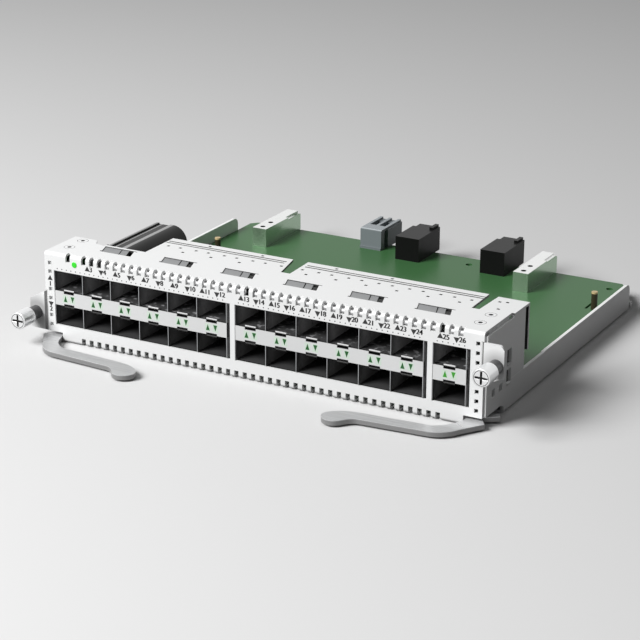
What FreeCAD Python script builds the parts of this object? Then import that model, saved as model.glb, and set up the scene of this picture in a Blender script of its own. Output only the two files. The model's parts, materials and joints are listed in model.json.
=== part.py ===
"""Network switch line card: a wide, flat card with 26 stacked optical ports.

The solids are drawn with Y = 0 on the panel's face, X along it and Z up from the tray's underside.
They are exported with the origin in the middle of the tray's underside, origin_depth behind the face.
"""
import FreeCAD, Part
import math
import os

from FreeCAD import Vector

# Card and sheet metal
card_width = 206.0
card_height = 40.0
sheet = 1.0
tray_depth = 157.8
rail_height = 13.0
box_depth = 42.0
corner_depth = 23.4
origin_depth = 80.0
half_width = card_width / 2
cover_under = card_height - sheet

# Tray walls, which stand a little to the right of the panel's middle
wall_thickness = 1.4
tray_shift = 1.05
wall_outer = {"left": half_width - tray_shift, "right": half_width + tray_shift}
wall_inner = {side: outer - wall_thickness for side, outer in wall_outer.items()}

# Ports: two rows of openings in ganged cages
port_width = 14.0
port_height = 8.9
cage_wall = 0.25
port_pitch = port_width + cage_wall
group_gap = 4.25
port_columns = int((card_width - 20.5) / port_pitch)
wide_columns = (port_columns - 1) // 2
group_columns = {"left": wide_columns, "middle": wide_columns, "right": port_columns - 2 * wide_columns}
first_port_x = -half_width + 4.9
lower_port_z = 7.8
strip_height = 6.3
cage_depth = 41.0
cage_front = 0.3
window_gap = 1.7

# Circuit board
board_thickness = 1.6
board_top = 6.8
board_rear = tray_depth + 14.7
board_front = 2.5
board_side_gap = 0.4

# Front panel details
slot_pitch = 4.0
bend_radius = 1.5
lever_corner_height = 4.2
lever_corner_width = 8.1
vent_size = 1.7
vent_x = half_width - 2.6

# Ejector levers
lever_pivot = Vector(half_width - 5.5, 8.5, 0)
lever_shift = {"left": 0.8, "right": 0.0}
lever_thickness = 2.1
lever_bottom = 0.7
pivot_radius = 2.0
running_gap = 0.05
axial_gap = 0.1

# Captive screws on the ears
ear_width = 8.5
ear_top = card_height - 4.1
ear_inner = half_width - sheet
screw_x = half_width + 5.2
screw_z = {"left": 11.6, "right": 27.0}
knob_radius = 3.8
knob_front = -14.0
knob_length = 8.0
ferrule_radius = 3.0
ferrule_length = 5.4
neck_radius = 2.4
shank_radius = 1.5

board_bottom = board_top - board_thickness
strip_bottom = lower_port_z + port_height
strip_top = strip_bottom + strip_height
ports_top = strip_top + port_height
cage_top = ports_top + cage_wall
groups = ("left", "middle", "right")
sides = {"left": -1, "right": 1}


def block(x, y, z):
    """Box from three (low, high) pairs."""
    solid = Part.makeBox(x[1] - x[0], y[1] - y[0], z[1] - z[0])
    solid.translate(Vector(x[0], y[0], z[0]))
    return solid


def plan_prism(points, z_low, z_high):
    """Prism from an outline in the XY plane."""
    wire = Part.makePolygon([Vector(x, y, z_low) for x, y in points + points[:1]])
    return Part.Face(wire).extrude(Vector(0, 0, z_high - z_low))


def side_prism(points, x_low, x_high):
    """Prism from an outline in the YZ plane."""
    wire = Part.makePolygon([Vector(x_low, y, z) for y, z in points + points[:1]])
    return Part.Face(wire).extrude(Vector(x_high - x_low, 0, 0))


def front_prism(points, y_low, y_high):
    """Prism from an outline in the XZ plane."""
    wire = Part.makePolygon([Vector(x, y_low, z) for x, z in points + points[:1]])
    return Part.Face(wire).extrude(Vector(0, y_high - y_low, 0))


def rod_z(x, y, radius, z_low, z_high):
    return Part.makeCylinder(radius, z_high - z_low, Vector(x, y, z_low))


def rod_y(x, z, radius, y_low, y_high):
    return Part.makeCylinder(radius, y_high - y_low, Vector(x, y_low, z), Vector(0, 1, 0))


def mirrored(shape):
    return shape.mirror(Vector(0, 0, 0), Vector(1, 0, 0))


def on_side(shape, side):
    """Puts a piece drawn for the right-hand side on its own side."""
    return shape if side == "right" else mirrored(shape)


def fused(solids):
    """One shape from many, with the seams between them removed."""
    result = solids[0].multiFuse(solids[1:]) if len(solids) > 1 else solids[0]
    return result.removeSplitter()


def cut_all(base, tools):
    return base.cut(tools) if tools else base


def group_start(group):
    index = groups.index(group)
    columns_before = sum(group_columns[name] for name in groups[:index])
    return first_port_x + columns_before * port_pitch + index * group_gap


def column_starts(group):
    return [group_start(group) + i * port_pitch for i in range(group_columns[group])]


def group_end(group):
    return group_start(group) + group_columns[group] * port_pitch - cage_wall


def spring_slot_centres():
    """Centres of the contact slots along the panel's top bend."""
    first = -half_width + 20.0
    count = int((card_width - 26.0) / slot_pitch)
    return [first - 2 * slot_pitch] + [first + slot_pitch * i for i in range(count)]


def comb_gap_centres():
    count = int((card_width - 34.0) / slot_pitch)
    return [slot_pitch * (i - (count - 1) / 2) for i in range(count)]


# Front panel and cover, one bent sheet

window_count = 6
window_length = 14.8
window_pitch = (card_width - 26.4) / window_count
window_first_x = -half_width + 21.6
window_front = 11.4
window_depth = 7.0
window_skew = 2.4
contact_slot_width = 2.2
contact_slot_low = card_height - 3.4
contact_slot_back = 2.9
comb_gap_width = 2.0
comb_gap_top = 3.2
lip_depth = 3.0
bend_facets = 3
panel_gap = 0.1
corner_rear = box_depth - 1.0
overhang = 1.3
overhang_front = 26.0
duct_span = (-half_width + 18.8, -half_width + 34.7)
duct_front = 19.9
status_light_x = -half_width + 15.4
status_light_radius = 1.3
status_light_z = max(card_height - 3.9, cage_top + status_light_radius + 0.2)
cover_screw_x = half_width - 6.3
cover_screw_rows = (9.8, 19.9)
cover_screw_radius = 2.45
cover_head = 0.6
cover_shank = 1.25


def quarter_turn(middle, radius, start_angle, facets=bend_facets):
    """Points of a quarter circle about its middle, from the starting angle on."""
    points = []
    for i in range(facets + 1):
        angle = math.radians(start_angle + 90.0 * i / facets)
        points.append((middle[0] + radius * math.cos(angle), middle[1] + radius * math.sin(angle)))
    return points


def panel_section():
    """Side view of the bent sheet: lip, face, top bend and cover."""
    inner = bend_radius
    return [
        *quarter_turn((bend_radius, card_height - bend_radius), bend_radius, 90),
        *quarter_turn((bend_radius, bend_radius), bend_radius, 180),
        (lip_depth, 0),
        (lip_depth, sheet),
        (inner, sheet),
        (sheet, inner),
        (sheet, card_height - inner),
        (inner, cover_under),
        (box_depth, cover_under),
        (box_depth, card_height),
    ]


def window_band(index, start, end, inset=0.0):
    """Slanted strip across one window of the cover, between two distances from its left edge."""
    x = window_first_x + index * window_pitch
    front = window_front + inset
    rear = window_front + window_depth - inset
    return [
        (x + start, front),
        (x + end, front),
        (x + end - window_skew, rear),
        (x + start - window_skew, rear),
    ]


def window_cuts(index, z):
    """One window, with the relief at its front corner and the thin tail at its rear one."""
    x = window_first_x + index * window_pitch
    rear = window_front + window_depth
    tail_x = x + window_length - window_skew
    opening = plan_prism(window_band(index, 0, window_length), *z)
    relief = block((x - 1.05, x - 0.15), (window_front + 0.15, window_front + 1.05), z)
    tail = block((tail_x - 0.2, tail_x + 1.6), (rear - 0.6, rear), z)
    return [opening, relief, tail]


def cover_cutouts():
    """Left corner recess, the two slots, the windows and the shorter right corner."""
    z = (cover_under - 0.5, card_height + 1)
    rear = box_depth + 1
    recess_right = duct_span[1] + 3.8
    recess = [
        (-half_width - 1, corner_depth),
        (-half_width + 11.3, corner_depth),
        (-half_width + 13.7, duct_front - 0.5),
        (duct_span[0] - 0.7, duct_front - 1.6),
        (duct_span[0] - 0.4, duct_front - 0.1),
        (recess_right, duct_front - 0.1),
        (recess_right, rear),
        (-half_width - 1, rear),
    ]
    first_slot = [(-1.0, 25.0), (3.3, 25.0), (2.6, rear), (-4.8, rear)]
    slot_x = half_width - 17.0
    second_slot = [(slot_x + 0.6, 23.6), (slot_x + 4.0, 23.6), (slot_x + 4.6, rear), (slot_x, rear)]
    cuts = [plan_prism(points, *z) for points in (recess, first_slot, second_slot)]
    for index in range(window_count):
        cuts += window_cuts(index, z)
    cuts.append(block((slot_x + 4.0, half_width + overhang + 1), (corner_rear, rear), z))
    return cuts


def cover_holes():
    """Small square vents of the cover, in two rows per section."""
    size = 1.3
    module = 14.0
    pair_step = 6.1
    rear_row = box_depth - 10.0
    front_row = box_depth - 14.6
    edge_row = box_depth - 2.0
    left_pairs = [-60.5 + module * i for i in range(4)]
    right_pairs = [13.2 + module * i for i in range(5)]
    rear_xs = [x + step for x in left_pairs + right_pairs for step in (0, pair_step)]
    rear_xs += [-4.7, 5.4, half_width - 20.1]
    front_xs = [-50.4 + module * i for i in range(3)] + [9.6 + module * i for i in range(6)]
    places = [(x, rear_row) for x in rear_xs] + [(x, front_row) for x in front_xs]
    places += [(x, edge_row) for x in (-44.4, -18.3, 17.3, 43.3)]
    places += [(half_width - 6.5, front_row)]
    places += [(half_width - 6.4, rear_row + 4.3), (half_width - 9.4, rear_row + 3.5)]
    half = size / 2
    z = (cover_under - 0.5, card_height + 1)
    return [block((x - half, x + half), (y - half, y + half), z) for x, y in places]


def bead_grooves():
    """Two shallow lines pressed along the cover's rear edge."""
    depth = 0.3
    width = 0.6
    z = (card_height - depth, card_height + 1)
    spans = ((-64.0, -5.5), (4.5, half_width - 18.0))
    rows = (box_depth - 6.4, box_depth - 4.4)
    return [block(span, (y, y + width), z) for span in spans for y in rows]


def face_cutouts():
    """Port windows, vents, light hole, contact slots, comb gaps and lever corners."""
    through = (-1.0, sheet + 0.6)
    cuts = []
    for group in groups:
        x = (group_start(group) - cage_wall, group_end(group) + cage_wall + window_gap)
        cuts.append(block(x, through, (lower_port_z - 0.2, ports_top + 0.2)))
    half = vent_size / 2
    left_rows = (card_height - 4.9, 31.2, 23.3, 19.2, 11.5, 7.3)
    right_rows = [card_height - 5.0 - slot_pitch * i for i in range(8)]
    vents = [(-vent_x, z) for z in left_rows] + [(vent_x, z) for z in right_rows]
    cuts += [block((x - half, x + half), through, (z - half, z + half)) for x, z in vents]
    cuts.append(rod_y(status_light_x, status_light_z, status_light_radius, *through))
    half = contact_slot_width / 2
    back = (-1.0, contact_slot_back)
    for x in spring_slot_centres():
        cuts.append(block((x - half, x + half), back, (contact_slot_low, card_height + 1)))
    half = comb_gap_width / 2
    lip = (-1.0, lip_depth + 1)
    cuts += [block((x - half, x + half), lip, (-1.0, comb_gap_top)) for x in comb_gap_centres()]
    for side, sign in sides.items():
        corner = sorted((sign * (half_width + 1), sign * (half_width - lever_corner_width)))
        cuts.append(block(corner, lip, (-1.0, lever_corner_height)))
        edge = sorted((sign * (half_width + 1), sign * (ear_inner - panel_gap)))
        z_values = [z for _, z in ear_outline(side)]
        cuts.append(block(edge, through, (min(z_values) - 0.3, max(z_values) + 0.3)))
    return cuts


def make_front_panel():
    edge = half_width + overhang
    body = side_prism(panel_section(), -half_width, half_width)
    shelf = block((half_width - 1, edge), (overhang_front, corner_rear), (cover_under, card_height))
    return_strip = block((half_width - 5, edge), (corner_rear - 1.1, corner_rear), (20.2, cover_under + 0.5))
    body = fused([body, shelf, return_strip])
    body = cut_all(body, cover_cutouts() + cover_holes() + bead_grooves() + face_cutouts())
    return cut_all(body, [cover_screw(x, y) for x, y in cover_screw_places()])


# Tray with its side walls

floor_front = lip_depth
rear_lip = 3.7
bead_radius = 1.3
bead_height = 2.0
lever_bay_x = half_width - 17.0
lever_bay_y = 18.6
cover_flange_z = cover_under - 1.2
spring_windows = ((19.2, 26.2), (11.0, 17.8))
spring_window_y = {"left": (16.4, 20.8), "right": (20.4, 24.8)}


def ear_outline(side):
    """Front outline of an ear, as (x, z) points on the card's right-hand side."""
    outer = half_width + ear_width
    if side == "right":
        top = [(outer, ear_top - 1.9), (outer - 1.6, ear_top), (ear_inner, ear_top)]
        return [(ear_inner, 18.5), (outer, 22.4)] + top
    return [(ear_inner, 4.2), (outer - 0.6, 4.4), (outer, 5.0), (outer, 17.4), (ear_inner, 22.6)]


def make_ear(side):
    """Ear: the wall's front edge, bent out behind the panel and stepped forward beside it."""
    z_values = [z for _, z in ear_outline(side)]
    z = (min(z_values) + 0.6, max(z_values) - 0.6)
    back = sheet + panel_gap
    plate = front_prism(ear_outline(side), 0, sheet)
    root_x = (min(wall_inner[side], ear_inner), max(wall_outer[side], ear_inner + sheet))
    root = block(root_x, (back, back + sheet), z)
    step = block((ear_inner, ear_inner + sheet), (0, back + sheet), z)
    hole = rod_y(screw_x, screw_z[side], neck_radius, -1, sheet + 1)
    return on_side(fused([plate, root, step]).cut(hole), side)


def wall_outline(side):
    """Side view of a tray wall: tall beside the ports, low along the board."""
    box_rear = corner_rear - 3.4 if side == "right" else corner_depth
    low_rail = rail_height - 0.4
    step = 58.5
    front = sheet + panel_gap
    gap_rear = min(overhang_front, box_rear - 1.5)
    wall_top = cover_under - 0.8
    corner = 3.1
    return [
        (front, lever_corner_height + 0.3),
        (15.0, lever_corner_height + 0.3),
        (lever_bay_y, 3.0),
        (lever_bay_y, 0),
        (tray_depth, 0),
        *quarter_turn((tray_depth - corner, rail_height - corner), corner, 0),
        (step + 0.8, rail_height),
        (step, low_rail),
        (box_rear, low_rail),
        (box_rear, cover_under),
        (gap_rear, cover_under),
        (gap_rear, wall_top),
        (front, wall_top),
    ]


def wall_slots(side):
    """Slots for the side contact springs."""
    x = (wall_inner[side] - 1, wall_outer[side] + 1)
    spans = [(spring_window_y[side], z) for z in spring_windows]
    if side == "right":
        spans += [((6.4, 9.6), (11.0, 14.2)), ((13.4, 16.6), (11.0, 14.0))]
    return [block(x, y, z) for y, z in spans]


def bottom_waste(side):
    """What lies outside the bend between the floor and a wall."""
    radius = wall_thickness
    outer = wall_outer[side]
    points = [(outer + 1, -1), (outer - radius, -1)]
    points += quarter_turn((outer - radius, radius), radius, -90)
    points.append((outer + 1, radius))
    return on_side(front_prism(points, -1, tray_depth + 1), side)


def rear_bead():
    """Rolled edge along the floor's rear end."""
    middle = (tray_depth + rear_lip, bead_height)
    corner_count = 8
    angles = [2 * math.pi * (i + 0.5) / corner_count for i in range(corner_count)]
    points = [(middle[0] + bead_radius * math.cos(a), middle[1] + bead_radius * math.sin(a)) for a in angles]
    return side_prism(points, -wall_outer["left"] + 0.2, wall_outer["right"] - 0.2)


def make_tray():
    floor_x = (-wall_inner["left"] - 0.5, wall_inner["right"] + 0.5)
    pieces = [block(floor_x, (floor_front, tray_depth + rear_lip), (0, sheet)), rear_bead()]
    cuts = []
    for side, sign in sides.items():
        wall = side_prism(wall_outline(side), wall_inner[side], wall_outer[side])
        pieces.append(on_side(cut_all(wall, wall_slots(side)), side))
        pieces.append(make_ear(side))
        flange_x = (half_width - 8.2, wall_inner[side] + 0.5)
        flange = block(flange_x, (4.0, corner_depth - 0.6), (cover_flange_z, cover_under))
        pieces.append(on_side(flange, side))
        bay = block((lever_bay_x, wall_outer[side] + 1), (0, lever_bay_y), (-1, sheet))
        cuts += [on_side(bay, side), bottom_waste(side)]
    cuts += [rod_z(x, y, cover_shank, cover_flange_z - 1, cover_under + 1) for x, y in cover_screw_places()]
    return cut_all(fused(pieces), cuts)


# Screws of the cover

def cover_screw_places():
    return [(sign * cover_screw_x, y) for sign in sides.values() for y in cover_screw_rows]


def cover_screw(x, y):
    """Flush screw without its recess, drawn upright at its place in the cover."""
    head = rod_z(x, y, cover_screw_radius, card_height - cover_head, card_height)
    shank = rod_z(x, y, cover_shank, cover_flange_z - 1.0, card_height - cover_head)
    return fused([head, shank])


def make_cover_screws():
    recess_radius = 0.85
    screws = []
    for x, y in cover_screw_places():
        recess = rod_z(x, y, recess_radius, card_height - 0.4, card_height + 1)
        screws.append(cover_screw(x, y).cut(recess))
    return Part.makeCompound(screws)


# Contact springs

spring_sheet = 0.3
dark_slots = (0, 1, 2, 3, 21, 43)
liner_front = 3.4
liner_rear = 24.0
pad_top = card_height - 0.3
finger_low = card_height - 3.0
liner_drop_low = min(finger_low, cage_top + 1.5)


def contact_finger(x):
    """Sprung finger that stands in one contact slot and reaches back to the liner."""
    half = contact_slot_width / 2
    low = finger_low
    high = card_height - 1.4
    arm_top = low + 0.6
    outline = [
        (0.35, low),
        (0.35, high - 0.5),
        (0.85, high),
        (1.85, high),
        (1.85, arm_top),
        (liner_front + 0.1, arm_top),
        (liner_front + 0.1, low),
    ]
    return side_prism(outline, x - half + 0.75, x + half - panel_gap)


def liner_cuts():
    """Dark end and seam of each window's pad, and the liner's clearance at the cover's cut-outs."""
    cuts = []
    seam = 0.58 * window_length
    for index in range(window_count):
        end = window_band(index, window_length - 2.6, window_length + 0.5)
        cuts.append(plan_prism(end, cover_under - 1, card_height))
        line = window_band(index, seam - 0.25, seam + 0.25)
        cuts.append(plan_prism(line, pad_top - 0.5, card_height))
    z = (cover_under - 1, card_height)
    rear = liner_rear + 1
    slot_x = half_width - 17.0
    cuts.append(block((-half_width, duct_span[1] + 3.9), (duct_front - 0.6, rear), z))
    cuts.append(block((-half_width, duct_span[0] - 0.3), (duct_front - 2.3, rear), z))
    cuts.append(block((slot_x, slot_x + 4.6), (liner_rear - 0.6, rear), z))
    return cuts


def make_top_spring():
    """Steel liner under the cover: fingers in the contact slots and pads in the windows."""
    x = (-half_width + 8.4, half_width - 8.4)
    plate_bottom = cover_under - spring_sheet
    plate = block(x, (liner_front, liner_rear), (plate_bottom, cover_under))
    drop = block(x, (liner_front, liner_front + spring_sheet), (liner_drop_low, cover_under))
    fingers = [contact_finger(x) for i, x in enumerate(spring_slot_centres()) if i not in dark_slots]
    gap = panel_gap
    outlines = [window_band(i, gap, window_length - gap, gap) for i in range(window_count)]
    pads = [plan_prism(outline, plate_bottom, pad_top) for outline in outlines]
    return cut_all(fused([plate, drop] + fingers + pads), liner_cuts())


def make_side_spring(side):
    """Spring plate inside a tray wall, with bowed lips that show in its slots."""
    outer = wall_inner[side]
    inner = outer - spring_sheet
    window_y = spring_window_y[side]
    plate_y = (5.0, window_y[1] + 2.2)
    pieces = [block((inner, outer), plate_y, (10.0, 28.0))]
    holes = []
    hole_y = (window_y[0] + 0.4, window_y[1] - 0.4)
    lip_y = (window_y[0] + 0.5, window_y[1] - 0.5)
    for low, high in spring_windows:
        holes.append(block((inner - 1, outer + 1), hole_y, (low + 1.6, high - 0.4)))
        pieces.append(block((inner, wall_outer[side] + 0.2), lip_y, (low + 0.3, low + 1.0)))
    return on_side(cut_all(fused(pieces), holes), side)


# Port cages and what they hold

latch_width = 5.2
latch_notch = 1.0
lower_notch = 0.8


def latch_tongue(x, level, direction):
    """Bent tongue of the cage at the strip's edge, turned up (1) or down (-1)."""
    height = 0.9
    back = 1.7
    profile = [
        (cage_front, 0),
        (cage_front, height),
        (cage_front + 0.3, height),
        (cage_front + 0.3, cage_wall),
        (back + 0.7, cage_wall),
        (back + 0.7, -0.15),
        (back, -0.15),
        (back, 0),
    ]
    outline = [(y, level + direction * z) for y, z in profile]
    half = latch_width / 2 - panel_gap
    return side_prism(outline, x - half, x + half)


def make_cage(group):
    """Sheet cage: dividers, port floors and ceilings, rear wall and latch tabs."""
    x_low = group_start(group) - cage_wall
    x_high = group_end(group) + cage_wall
    levels = (lower_port_z - cage_wall, strip_bottom, strip_top - cage_wall, ports_top)
    pieces = [block((x_low, x_high), (1.7, cage_depth), (z, z + cage_wall)) for z in levels]
    walls = [x - cage_wall for x in column_starts(group)] + [x_high - cage_wall]
    for x in walls:
        pieces.append(block((x, x + cage_wall), (1.7, cage_depth), (board_top, cage_top)))
        for z in ((lower_port_z, strip_bottom), (strip_top, ports_top)):
            pieces.append(block((x, x + cage_wall), (cage_front, 1.8), (z[0], z[1])))
    rear = block((x_low, x_high), (cage_depth - cage_wall, cage_depth), (board_top, cage_top))
    pieces.append(rear)
    for x in column_starts(group):
        pieces.append(latch_tongue(x + port_width / 2, strip_top, 1))
        pieces.append(latch_tongue(x + port_width / 2, strip_bottom, -1))
    return fused(pieces)


def light_triangle(x, points_up, half_base=0.8, half_height=1.15):
    """Outline of one port light, as (x, z) points."""
    middle = (strip_bottom + strip_top) / 2
    tip = half_height if points_up else -half_height
    return [(x - half_base, middle - tip), (x + half_base, middle - tip), (x, middle + tip)]


def port_light_outlines(group):
    outlines = []
    offset = 1.8
    for x in column_starts(group):
        middle = x + port_width / 2
        outlines.append(light_triangle(middle - offset, True))
        outlines.append(light_triangle(middle + offset, False))
    return outlines


def make_strip(group):
    """Light strip between the two rows of ports."""
    front = 0.2
    back = 1.7
    x = (group_start(group) - cage_wall, group_end(group) + cage_wall)
    body = block(x, (front, back), (strip_bottom, strip_top))
    cuts = []
    for start in column_starts(group):
        middle = start + port_width / 2
        notch_x = (middle - latch_width / 2, middle + latch_width / 2)
        cuts.append(block(notch_x, (-1, 3), (strip_top - latch_notch, strip_top + 1)))
        cuts.append(block(notch_x, (-1, 3), (strip_bottom - 1, strip_bottom + lower_notch)))
    cuts += [front_prism(points, -1, 3) for points in port_light_outlines(group)]
    return cut_all(body, cuts)


def make_port_lights(group):
    return Part.makeCompound([front_prism(points, 0.15, 1.6) for points in port_light_outlines(group)])


def make_port_sockets(group):
    """Stacked contact blocks at the rear of each column of ports."""
    y = (31.0, cage_depth - cage_wall)
    sockets = []
    for x in column_starts(group):
        for z in (lower_port_z, strip_top):
            body = block((x + 1.0, x + port_width - 1.0), y, (z, z + 6.0))
            mouth = block((x + 2.0, x + port_width - 2.0), (y[0] - 1, y[0] + 5), (z + 2.2, z + 3.8))
            sockets.append(body.cut(mouth))
    return Part.makeCompound(sockets)


def make_status_light():
    dome = rod_y(status_light_x, status_light_z, status_light_radius, -0.3, sheet + 2.0)
    return dome.makeChamfer(0.25, [edge for edge in dome.Edges if is_front_rim(edge)])


def is_front_rim(edge):
    """True for the circle at the light's front end."""
    return edge.Closed and abs(edge.CenterOfMass.y + 0.3) < 0.01


# Circuit board and what stands on it

standoff_width = 5.5
standoff_x = half_width - 23.0
standoff_places = [(x, y) for x in (-standoff_x, 0.0, standoff_x) for y in (box_depth + 10.0, tray_depth - 29.8)]
post_radius = 1.4
post_top = 15.0
posts = {"left": (-half_width + 14.0, 119.5), "right": (half_width - 6.6, 134.0)}
board_holes = [(22.1, board_rear - 8.9), (half_width - 10.4, board_rear - 9.5)]
guide_width = 7.4
guide_length = 34.2
guide_rear = board_rear + 1.0
guide_front = guide_rear - guide_length
guide_top = 15.9
guide_x = {"left": -half_width + 21.6, "right": half_width - 48.2}
guide_bore_radius = 2.0
guide_bore_length = 18.0


def make_board():
    """Green board on the standoffs, with clipped rear corners."""
    left = -wall_inner["left"] + board_side_gap
    right = wall_inner["right"] - board_side_gap
    clip = 3.0
    right_clip = 7.0
    outline = [
        (left, board_front),
        (right, board_front),
        (right, board_rear - 1.6 * right_clip),
        (right - right_clip, board_rear),
        (left + clip, board_rear),
        (left, board_rear - clip),
    ]
    body = plan_prism(outline, board_bottom, board_top)
    low = board_bottom - 1
    high = board_top + 1
    cuts = [rod_z(x, y, 1.6, low, high) for x, y in board_holes]
    cuts += [rod_z(x, y, post_radius, low, high) for x, y in posts.values()]
    slot_x = posts["right"][0] - 4.2
    slot_y = posts["right"][1] - 1.0
    cuts.append(block((slot_x, slot_x + 1.2), (slot_y, slot_y + 8.5), (low, high)))
    for sign in sides.values():
        bay_x = sorted((sign * lever_bay_x, sign * (half_width + 1)))
        cuts.append(block(bay_x, (0, lever_bay_y + 1.4), (low, high)))
    return cut_all(body, cuts)


def make_standoffs():
    """Hexagonal pillars that carry the board over the tray's floor."""
    pillars = []
    corner = standoff_width / math.sqrt(3)
    for x, y in standoff_places:
        angles = [math.radians(60 * i) for i in range(6)]
        outline = [(x + corner * math.cos(a), y + corner * math.sin(a)) for a in angles]
        pillars.append(plan_prism(outline, sheet, board_bottom))
    return Part.makeCompound(pillars)


def make_post(side):
    """Brass pin through the board, standing on the tray."""
    x, y = posts[side]
    return rod_z(x, y, post_radius, sheet, post_top)


def make_guide_block(side):
    """Guide housing at the board's rear edge, bored from behind for a chassis pin."""
    x = guide_x[side]
    middle = x + guide_width / 2
    bore_z = (board_top + guide_top) / 2
    body = block((x, x + guide_width), (guide_front, guide_rear), (board_top, guide_top))
    cuts = [rod_z(middle, guide_front + y, 1.2, guide_top - 3.0, guide_top + 1) for y in (3.5, 11.1)]
    cuts.append(rod_y(middle, bore_z, guide_bore_radius, guide_rear - guide_bore_length, guide_rear + 1))
    ledge_x = (x + guide_width - 1.6, x + guide_width + 1)
    cuts.append(block(ledge_x, (guide_front + 21.9, guide_rear + 1), (guide_top - 1.3, guide_top + 1)))
    return cut_all(body, cuts)


power_x = (-34.7, -23.6)
power_front = board_rear - 10.5
power_rear = power_front + 21.2
power_top = 16.8
backplane_width = 12.2
backplane_x = {"left": -12.1, "right": 31.3}
backplane_front = {"left": board_rear - 18.2, "right": board_rear - 17.2}
backplane_length = 23.2
backplane_top = 18.2


def make_power_connector():
    """Housing with three fingers over its rear contact slots."""
    width = power_x[1] - power_x[0]
    finger = 1.5
    gap = (width - 3 * finger) / 2
    step = power_front + 6.2
    front = block(power_x, (power_front, step + 1), (board_top, power_top))
    rear = block((power_x[0], power_x[1] + 0.6), (step, power_rear), (board_top, power_top - 1.0))
    foot = block(power_x, (power_front - 0.6, step), (board_top, board_top + 1.2))
    fingers = []
    cuts = []
    for index in range(3):
        x = power_x[0] + index * (finger + gap)
        fingers.append(block((x, x + finger), (step, power_rear), (power_top - 2, power_top)))
    for index in range(2):
        x = power_x[0] + finger + index * (finger + gap)
        cuts.append(block((x, x + gap), (step + 1, power_rear - 5.0), (power_top - 2.4, power_top + 1)))
        cuts.append(block((x, x + gap), (power_rear - 7.0, power_rear + 1), (9.0, power_top - 3.6)))
    recess = block((power_x[1] - 0.9, power_x[1] + 1), (step - 2.6, step), (board_top - 1, power_top - 1.2))
    body = cut_all(fused([front, rear, foot] + fingers), cuts + [recess])
    edges = [edge for edge in body.Edges if is_edge_at(edge, power_front, power_top)]
    return body.makeChamfer(0.7, edges)


def is_edge_at(edge, y, z):
    """True for a straight edge along X at the given depth and height."""
    middle = edge.CenterOfMass
    return abs(middle.y - y) < 0.01 and abs(middle.z - z) < 0.01 and edge.BoundBox.XLength > 2


def make_backplane_connector(side):
    """Black housing with a rear mouth for the backplane's contacts."""
    x = backplane_x[side]
    front = backplane_front[side]
    rear = front + backplane_length
    body = block((x, x + backplane_width), (front, rear), (board_top, backplane_top))
    ridge = block((x + 9.4, x + 11.2), (rear - 6.0, rear + 0.6), (backplane_top - 1, backplane_top + 1.0))
    body = fused([body, ridge])
    mouth = block((x + 1.2, x + backplane_width - 1.2), (rear - 6.0, rear + 1), (board_top + 1.2, 17.0))
    side_step = block((x - 1, x + 1.6), (rear - 4.4, rear + 1), (board_top + 3.0, 20))
    return body.cut(mouth).cut(side_step)


# Air guide behind the first ports

duct_rear = 59.5
duct_top = card_height - 0.4
duct_round = 7.2
duct_wall = 1.0


def duct_solid(inset):
    """Arched block with one rounded shoulder, drawn in by the inset."""
    x_low = duct_span[0] + inset
    x_high = duct_span[1] - inset
    top = duct_top - inset
    radius = duct_round - inset
    middle = Vector(x_high - radius, duct_front, top - radius)
    elbow = middle + Vector(radius * math.sqrt(0.5), 0, radius * math.sqrt(0.5))
    edges = [
        Part.makeLine(Vector(x_low, duct_front, board_top), Vector(x_low, duct_front, top)),
        Part.makeLine(Vector(x_low, duct_front, top), Vector(middle.x, duct_front, top)),
        Part.Arc(Vector(middle.x, duct_front, top), elbow, Vector(x_high, duct_front, middle.z)).toShape(),
        Part.makeLine(Vector(x_high, duct_front, middle.z), Vector(x_high, duct_front, board_top)),
        Part.makeLine(Vector(x_high, duct_front, board_top), Vector(x_low, duct_front, board_top)),
    ]
    return Part.Face(Part.Wire(edges)).extrude(Vector(0, duct_rear - duct_front, 0))


def make_air_guide():
    body = duct_solid(0).cut(duct_solid(duct_wall))
    length = (0, duct_rear + 1)
    over_cage = block((duct_span[0] - 1, duct_span[1] + 1), (0, cage_depth + 0.3), (0, cage_top + 0.3))
    open_floor = block((duct_span[0] + duct_wall, duct_span[1] - duct_wall), length, (0, 20))
    ridge = 1.5
    valley_x = (duct_span[0] + ridge, duct_span[1] - duct_round - ridge)
    valley = block(valley_x, length, (duct_top - 0.5, duct_top + 1))
    return body.cut(over_cage).cut(open_floor).cut(valley)


# Ejector levers

def from_pivot(points):
    """Points of the right-hand lever, given as distances from its pivot."""
    return [lever_pivot + Vector(x, y, 0) for x, y in points]


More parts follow.
